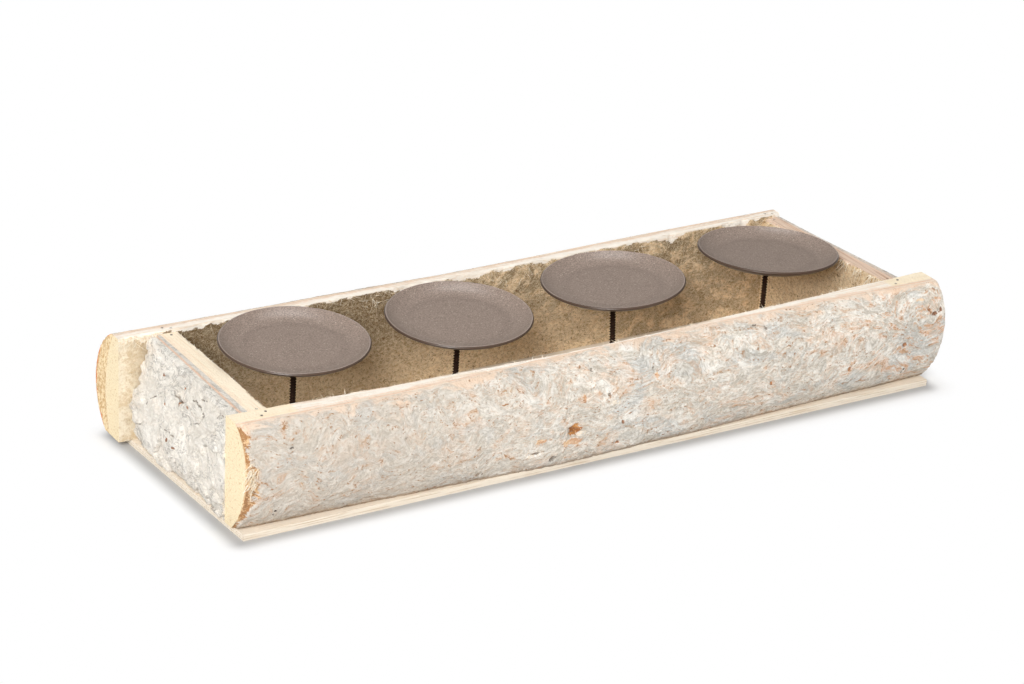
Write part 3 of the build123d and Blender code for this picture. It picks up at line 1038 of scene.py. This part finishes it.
# %% Insides of the wood
def clean_inside(wood, noises):
    """Mix the inside past the end boards: fresh wood, painted shade growing inward and up, and a stain at the
    left.
    """
    inward_shade = wood.step(noises.x, *shade_span) * (1 - noises.front)
    stain = wood.step(noises.x, *stain_span) * wood.step(noises.blots, 0.4, 0.55) * (1 - noises.high_up)
    return wood.paint(
        (240, 227, 203),
        ((216, 194, 160), wood.step(noises.grains + noises.blots, 0.9, 1.2)),
        # Painted shade toward the end board, stronger higher up
        ((172, 144, 104), inward_shade * (0.4 + 0.3 * noises.high_up)),
        ((190, 124, 62), stain * 0.8),
    )


def shaded_inside(wood, noises, pale):
    """Mix the tray's inside: fuzzy strands, and blotchy painted shade that grows toward the top and the ends.
    """
    grains, strand, high_up = noises.grains, noises.strand, noises.high_up
    leftward = wood.step(noises.x, *left_span)
    rightward = wood.step(noises.x, *right_span)
    # Painted shade in dark blotches, strongest high up under the dishes, toward the right and at the left
    murk_and_shade = wood.step(noises.cloud + 0.22 * leftward, 0.38, 0.6)
    murk_and_shade = murk_and_shade * (0.12 + 0.45 * rightward + 0.12 * leftward).most(0.12 + 0.75 * high_up) * (1 - pale)
    return wood.paint(
        (250, 224, 186),
        ((218, 185, 140), wood.step(grains, 0.4, 0.62)),
        ((128, 106, 72), murk_and_shade),
        ((252, 236, 206), wood.threads(strand, 0.5, 0.06) * 0.55),
        ((120, 92, 58), wood.threads(strand, 0.4, 0.05) * 0.55),
        ((92, 68, 38), leftward * high_up * wood.step(grains, 0.38, 0.6) * 0.5),
        ((120, 84, 48), wood.step(noises.dots, 0.64, 0.7) * 0.7),
    )


# %% Mix the sawn wood
def wood_finish(name, grain, ends, pale, light_top, dark_top):
    """Mix sawn wood. Ends is 1 on a log and 0 on an end board, and pale lessens the inside's painted shade.
    """
    finish, wood = new_finish(name)
    noises = SawnPatterns(wood, grain)
    facing = wood.facing()
    upward = wood.step(wood.axis(facing, 2), 0.2, 0.55)
    endward = wood.step(abs(wood.axis(facing, 0)), 0.6, 0.8) * ends
    clean = wood.step(abs(noises.x - inside_middle), inside_reach - clean_fade, inside_reach) * ends
    splintered = wood.step(wood.inherited("chip") + (noises.strand - 0.5) * 1.4, 0.3, 0.7)
    top = sawn_top(wood, noises, ends, light_top, dark_top)
    body = wood.paint(
        shaded_inside(wood, noises, pale),
        (clean_inside(wood, noises), clean),
        (top, splintered),
        (top, upward),
        (sawn_end(wood, noises), endward),
    )
    wood.surface(base_color=body, roughness=0.85, normal=wood.relief(noises.grains + noises.strand, 0.7 * mm))
    return finish


cream_top = ((252, 243, 230), (238, 214, 188))
peach_top = ((252, 237, 212), (244, 221, 190))
pink_top = ((226, 200, 178), (192, 154, 126))
log_wood_finish = wood_finish("sawn_log", (0.06, 0.0016, 0.0016), 1, 0, *cream_top)
left_wood_finish = wood_finish("sawn_left_board", (0.0016, 0.05, 0.0016), 0, 0.5, *peach_top)
right_wood_finish = wood_finish("sawn_right_board", (0.0016, 0.05, 0.0016), 0, 0.85, *pink_top)
dress(front_wood, "tray", "sawn_wood", log_wood_finish, "front_slab")
dress(back_wood, "tray", "sawn_wood", log_wood_finish, "back_slab")
dress(left_wood, "tray", "sawn_wood", left_wood_finish, "left_end_board")
dress(right_wood, "tray", "sawn_wood", right_wood_finish, "right_end_board")


def refinish(node, finish):
    """Give a carried-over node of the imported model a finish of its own."""
    piece = bpy.data.objects[node]
    piece.data.materials.clear()
    piece.data.materials.append(finish)


refinish("screw_strip", right_wood_finish)

# %% [markdown]
# ## Splinters and fibres
# A blunt saw leaves fibres standing: long pale splinters on the upper edges, a curly tuft where the front
# bark is torn, and fuzz that hangs from the right end board. Hair particles could do this, but they are no
# mesh. Here each fibre is a thin three-sided tube that bends and tapers, and each group of them is one
# piece.

# %% Tubes from rings of points
def round_angles(count):
    return [2 * math.pi * step / count for step in range(count)]


def ring(middle, axis, radii):
    """Give a ring of points round an axis, each at its own distance from it."""
    side = axis.orthogonal().normalized()
    other = axis.cross(side).normalized()
    spokes = [side * math.cos(angle) + other * math.sin(angle) for angle in round_angles(len(radii))]
    return [middle + spoke * radius for spoke, radius in zip(spokes, radii)]


def tubes(name, runs):
    """Join each run of rings into a closed tube, and all the tubes into one piece."""
    points, faces = [], []
    for rings in runs:
        count = len(rings[0])
        start = len(points)
        points.extend(point for one in rings for point in one)
        for low in range(start, len(points) - count, count):
            high = low + count
            for step in range(count):
                following = (step + 1) % count
                faces.append((low + step, low + following, high + following, high + step))
        faces.append(tuple(range(start, start + count)))
        faces.append(tuple(range(len(points) - count, len(points))))
    mesh = bpy.data.meshes.new(name)
    mesh.from_pydata(points, [], faces)
    return add_piece(name, mesh)


print("points of a ring", len(ring(Vector(), Vector((0, 0, 1)), (1, 1, 1))))

# %% Grow fibres
import random

fibre_rings = 6
fibre_sides = 3
fibre_taper = 0.8
draw = random.Random(7)


def fibres(name, roots):
    """Make bent tapering tubes. A root is a point, the way out, the way it bends, a length and a radius."""
    runs = []
    for root, way, bend, length, radius in roots:
        rings = []
        for number in range(fibre_rings):
            share = number / (fibre_rings - 1)
            middle = root + length * (share * way + share * share * bend)
            rings.append(ring(middle, way, [radius * (1 - fibre_taper * share)] * fibre_sides))
        runs.append(rings)
    return tubes(name, runs)


def speckled_finish(name, size, first, second, low, high, bump=0, **look):
    """Mix two colours in specks of one size, with bumps if a bump's depth is given."""
    finish, speckled = new_finish(name)
    worn = speckled.specks(speckled.place(), size)
    shade = speckled.paint(first, (second, speckled.step(worn, low, high)))
    if bump:
        look["normal"] = speckled.relief(worn, bump)
    speckled.surface(base_color=shade, **look)
    return finish


def spread(*limits):
    """Draw a vector between the limits of its three parts."""
    return Vector([draw.uniform(low, high) for low, high in limits])


torn_fibre = speckled_finish("torn_fibre", 0.002, (253, 245, 228), (238, 216, 182), 0.4, 0.65, roughness=0.8)
print("a drawn number", round(draw.random(), 3))

# %% Fibres of the torn end
# Radius, number, least and greatest length of the thick and of the fine fibres
tuft_kinds = ((0.5 * mm, 34, 5 * mm, 9 * mm), (0.24 * mm, 80, 2.5 * mm, 6 * mm))
tuft_span = (2 * mm, 10 * mm)
tuft_height_shares = (0.36, 0.66, 0.48)

tuft_roots = []
for radius, count, shortest, longest in tuft_kinds:
    for _ in range(count):
        along = front_log.share(front_log.low.x + draw.uniform(*tuft_span))
        outer, lean = front_log.outside(along, draw.triangular(*tuft_height_shares), 1)
        way = (0.5 * lean + spread((-1, -0.3), (-0.2, 0.1), (-0.6, 0.6))).normalized()
        bend = spread((-0.3, 0.3), (0, 0.3), (-0.7, 0.2))
        length = draw.uniform(shortest, longest)
        tuft_roots.append((outer - lean * torn_depth, way, bend, length, radius))
dress(fibres("torn_bark_fibres", tuft_roots), "tray", "sawn_wood", torn_fibre)


# %% Fibres of the upper edges
log_drop = 1.2 * mm
board_drop = 1.5 * mm


def edge_fibres(name, count, place, way, bend, longest, radius):
    """Grow fibres along an edge, where place gives a point for a share of its length."""
    roots = []
    for _ in range(count):
        direction = spread(*way).normalized()
        roots.append((place(draw.random()), direction, spread(*bend), draw.uniform(0.3, 1) * longest, radius))
    dress(fibres(name, roots), "tray", "sawn_wood", torn_fibre)


def edge_of(body, first, last, lowest):
    """Give places along a body's upper inside edge, between two shares of its length, down to a drop."""
    return lambda share: body.upper_edge(first + share * (last - first), draw.uniform(0, lowest))


edge_fibres("front_edge_fibres", 90, edge_of(front_log, 0.1, 0.93, log_drop),
            way=((-1, 1), (0, 0.7), (0, 0.7)), bend=((-0.3, 0.3), (-0.2, 0.3), (-0.3, 0.2)),
            longest=4.5 * mm, radius=0.22 * mm)
edge_fibres("back_edge_fibres", 110, edge_of(back_log, 0.09, 0.92, log_drop),
            way=((-1, 1), (-0.6, -0.1), (-0.5, 0.2)), bend=((-0.3, 0.3), (-0.2, 0.1), (-0.5, 0.1)),
            longest=8 * mm, radius=0.16 * mm)
edge_fibres("back_left_fibres", 40, edge_of(back_log, 0.005, 0.05, log_drop),
            way=((-1, 1), (-0.7, -0.1), (-0.6, 0.1)), bend=((-0.6, 0.6), (-0.2, 0.1), (-0.6, 0.1)),
            longest=10 * mm, radius=0.3 * mm)
edge_fibres("right_edge_fibres", 90, edge_of(right_board, 0.05, 0.98, board_drop),
            way=((-0.9, -0.1), (-0.8, 0.8), (-0.8, -0.2)), bend=((-0.3, 0.1), (-0.4, 0.4), (-0.8, -0.1)),
            longest=11 * mm, radius=0.36 * mm)
edge_fibres("left_edge_fibres", 60, edge_of(left_board, 0.03, 0.97, board_drop),
            way=((0.1, 0.7), (-1, 1), (-0.2, 0.4)), bend=((-0.1, 0.2), (-0.4, 0.4), (-0.4, 0.1)),
            longest=2.6 * mm, radius=0.22 * mm)

# %% Tufts on the back slab
tuft_places = (-87, 13, 36, -73, 90, 233, 128)
tuft_scatter = 4 * mm
tuft_depth = 0.2 * mm
tuft_drops = (3 * mm, 11 * mm)


def tuft_place(share):
    """Give a place near one of the tufts below the back slab's inside upper edge."""
    along = back_log.share(draw.choice(tuft_places) * mm + draw.gauss(0, tuft_scatter))
    least, most = tuft_drops
    return back_log.across(along, tuft_depth, back_log.section(along)[0] - least - (most - least) * share)


edge_fibres("back_slab_tufts", 70, tuft_place,
            way=((-1, 1), (-0.6, -0.1), (-0.6, 0.3)), bend=((-0.5, 0.5), (-0.1, 0.2), (-0.5, 0.3)),
            longest=9 * mm, radius=0.24 * mm)

# %% [markdown]
# ## Plywood base
# The base is thin raw plywood. Its edge shows the plies as pale and darker lines, and its faces fine grain.

# %% Mix the plywood
glue_height = 0.8 * mm
glue_span = (0.1 * mm, 0.25 * mm)


def plywood_finish():
    finish, ply = new_finish("raw_plywood")
    place = ply.place()
    grain = ply.specks(place, (0.03, 0.0012, 0.0012), 4, 0.65)
    from_middle = abs(ply.axis(place, 2) - (base_low.z + base_high.z) / 2)
    glue = 1 - ply.step(abs(from_middle - glue_height), *glue_span)
    sideways = 1 - ply.step(abs(ply.axis(ply.facing(), 2)), 0.3, 0.6)
    face = ply.paint(
        (247, 235, 217),
        ((230, 211, 186), ply.step(grain, 0.48, 0.7)),
        ((186, 154, 112), glue * sideways * ply.step(grain, 0.4, 0.6) * 0.6),
    )
    ply.surface(base_color=face, roughness=0.8, normal=ply.relief(grain, 0.25 * mm))
    return finish


refinish("base_board", plywood_finish())
print("plywood mixed")

# %% [markdown]
# ## Dish coating
# The dishes are coated in a matt taupe with a fine sparkle of light specks. Small bumps spread the light,
# and sparse Voronoi spots make the specks. The colour also carries painted light: a painted highlight along
# the rim, painted shade in a ring where the floor bends up, and painted shade on the outer edge and on the
# faces that look down.

# %% Mix the dish coating
rim_radius = 48.6 * mm
rim_highlight_width = 0.4 * mm
edge_shade_span = (rim_radius + 0.2 * mm, rim_radius + 0.5 * mm)
floor_radius = 33 * mm
bend_shade_width = 5 * mm
seats = {mount["name"]: Vector(mount["pos_m"]) for mount in frame["record"]["mounts"]}


def coating_finish(name, seat, axis):
    """Mix one dish's coating; its painted rim highlight and painted shade are placed by distance from its
    axis.
    """
    finish, coat = new_finish(name)
    place = coat.place()
    fine = coat.specks(place, 0.0009, 3, 0.7)
    spot = 1 - coat.step(coat.cells(place, 0.003), 0.08, 0.18)
    sideways = coat.vector("CROSS_PRODUCT", coat.vector("SUBTRACT", place, seat), axis)
    radius = coat.vector("LENGTH", sideways, output="Value")
    # Faces that look down get painted shade
    painted_underside_shade = 1 - coat.step(coat.axis(coat.facing(), 2), -0.2, 0.2)
    taupe = coat.paint(
        (118, 102, 91),
        ((160, 142, 130), coat.step(fine, 0.34, 0.66)),
        ((214, 202, 184), spot * 0.5),
        # Painted shade in a ring where the floor bends up into the rim
        ((84, 70, 61), coat.threads(radius, floor_radius, bend_shade_width) * 0.12),
        # Painted highlight along the rim
        ((190, 176, 166), coat.threads(radius, rim_radius, rim_highlight_width) * 0.5),
        # Painted shade on the outer edge and on the faces that look down
        ((78, 60, 47), coat.step(radius, *edge_shade_span).most(painted_underside_shade)),
    )
    relief = coat.relief(fine, 0.05 * mm)
    coat.surface(base_color=taupe, roughness=0.32, specular_ior_level=0.6, normal=relief)
    return finish


for joint in frame["record"]["behaviour"]["joints"]:
    number = joint["child"][-1]
    finish = coating_finish(f"taupe_coating_{number}", seats[f"candle_seat_{number}"], joint["axis"])
    refinish(f"candle_dish_{number}", finish)

# %% [markdown]
# ## Threaded stems
# Each dish stands on a dark wood screw. The thread is a ridge that climbs one pitch per turn, so the radius
# at a point depends on its depth and its angle together. A ring of points per step of depth gives the
# helix.

# %% Cut the threads
screw_length = 70 * mm
screw_head = 3.2 * mm
screw_point = 7 * mm
head_radius = 4.4 * mm
outer_radius = 2.25 * mm
core_radius = 1.45 * mm
thread_pitch = 2 * mm
dish_sheet = 2 * mm
stem_points = 28
ring_step = 0.2 * mm
least_taper = 0.02


def stem_radius(depth, angle):
    """Give the screw's radius: a cone under the dish, then the thread, then the point."""
    turns = (depth / thread_pitch + angle / (2 * math.pi)) % 1
    thread = core_radius + (outer_radius - core_radius) * max(1 - 1.5 * abs(2 * turns - 1), 0)
    thread *= max(min((screw_length - depth) / screw_point, 1), least_taper)
    cone = head_radius + (outer_radius - head_radius) * depth / screw_head
    return max(cone, thread) if depth < screw_head else thread


def screw_stem(name, top, axis):
    rings = []
    for number in range(round(screw_length / ring_step) + 1):
        depth = number * ring_step
        radii = [stem_radius(depth, angle) for angle in round_angles(stem_points)]
        rings.append(ring(top - axis * depth, axis, radii))
    return tubes(name, [rings])


dark_steel = speckled_finish("dark_screw_steel", 0.003, (44, 25, 13), (70, 46, 28), 0.5, 0.75,
                             bump=0.05 * mm, roughness=0.65, specular_ior_level=0.2)
for joint in frame["record"]["behaviour"]["joints"]:
    number = joint["child"][-1]
    axis = Vector(joint["axis"]).normalized()
    stem = screw_stem(f"screw_stem_{number}", seats[f"candle_seat_{number}"] - axis * dish_sheet, axis)
    dress(stem, joint["child"], "dark_screw", dark_steel, f"dish_screw_{number}")

# %% [markdown]
# ## Pins and nails
# Small steel pins hold the corners. Only their heads show, as dark dots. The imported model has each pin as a
# solid, so the heads can be found from it: the two ends of a thin solid lie furthest along its own length.

# %% Find the pins
weld_distance = 0.001 * mm
end_depth = 2 * mm


def solids_of(node):
    """Split a node's mesh into its solids, each as a list of points."""
    work = bmesh.new()
    work.from_mesh(bpy.data.objects[node].data)
    bmesh.ops.remove_doubles(work, verts=work.verts, dist=weld_distance)
    left = set(work.verts)
    groups = []
    while left:
        group, waiting = [], [left.pop()]
        while waiting:
            vert = waiting.pop()
            group.append(vert.co.copy())
            for edge in vert.link_edges:
                other = edge.other_vert(vert)
                if other in left:
                    left.remove(other)
                    waiting.append(other)
        groups.append(group)
    work.free()
    return groups


def pin_ends(points):
    """Give the middles of a thin solid's two ends."""
    middle = sum(points, Vector()) / len(points)
    far = max(points, key=lambda point: (point - middle).length)
    axis = (far - middle).normalized()
    reaches = [(point - middle).dot(axis) for point in points]
    ends = []
    for limit in (min(reaches), max(reaches)):
        near = [p for p, reach in zip(points, reaches) if abs(reach - limit) < end_depth]
        ends.append(sum(near, Vector()) / len(near))
    return ends


print("pins in the slabs' tops", len(solids_of("slab_top_pins")))

# %% Make the pin heads
pin_radius = 0.85 * mm
head_points = 16
# Shares of the radius and drops below the rim, in millimetres, from the dished middle to the shank's end
head_profile = ((0.7, 0.2), (1, 0), (1, 4))


def pin_heads(node, places):
    """Make one slightly dished head with a short shank at each place, a point and the way out of the wood."""
    runs = []
    for top, axis in places:
        rings = []
        for share, drop in head_profile:
            rings.append(ring(top - axis * drop * mm, axis, [share * pin_radius] * head_points))
        runs.append(rings)
    heads = tubes(node.removesuffix("s") + "_heads", runs)
    dress(heads, "tray", "nail_steel", pin_steel, node)


pin_steel = speckled_finish("pin_steel", 0.0012, (128, 120, 112), (84, 72, 62), 0.4, 0.65,
                            bump=0.05 * mm, roughness=0.5, metallic=0.6)
head_lift = 0.2 * mm
upright = Vector((0, 0, 1))


def nearest_log(y):
    return front_log if y < 0 else back_log


def top_heads(node, top):
    """Set heads on a node's upright pins, where top gives the wood's height at a pin's end."""
    ends = [max(pin_ends(solid), key=lambda point: point.z) for solid in solids_of(node)]
    pin_heads(node, [(Vector((end.x, end.y, top(end) + head_lift)), upright) for end in ends])


top_heads("slab_top_pins", lambda end: nearest_log(end.y).top(end.x))
top_heads("end_top_pins", lambda end: left_board.high.z)

# %% Set the corner brads in the bark
lower_half_shares = [step / 200 for step in range(101)]

brad_places = []
for solid in solids_of("corner_brads"):
    log = nearest_log(solid[0].y)
    end = max(pin_ends(solid), key=lambda point: point.y * log.way)
    along = log.share(end.x)
    up = min(lower_half_shares, key=lambda share: abs(log.outside(along, share, 1)[0].z - end.z))
    outer, lean = log.outside(along, up, 1)
    brad_places.append((outer + lean * (log_relief(outer) + head_lift), lean))
pin_heads("corner_brads", brad_places)
for node in ("base_nails", "strip_nails"):
    refinish(node, pin_steel)

# %% Import json
import json
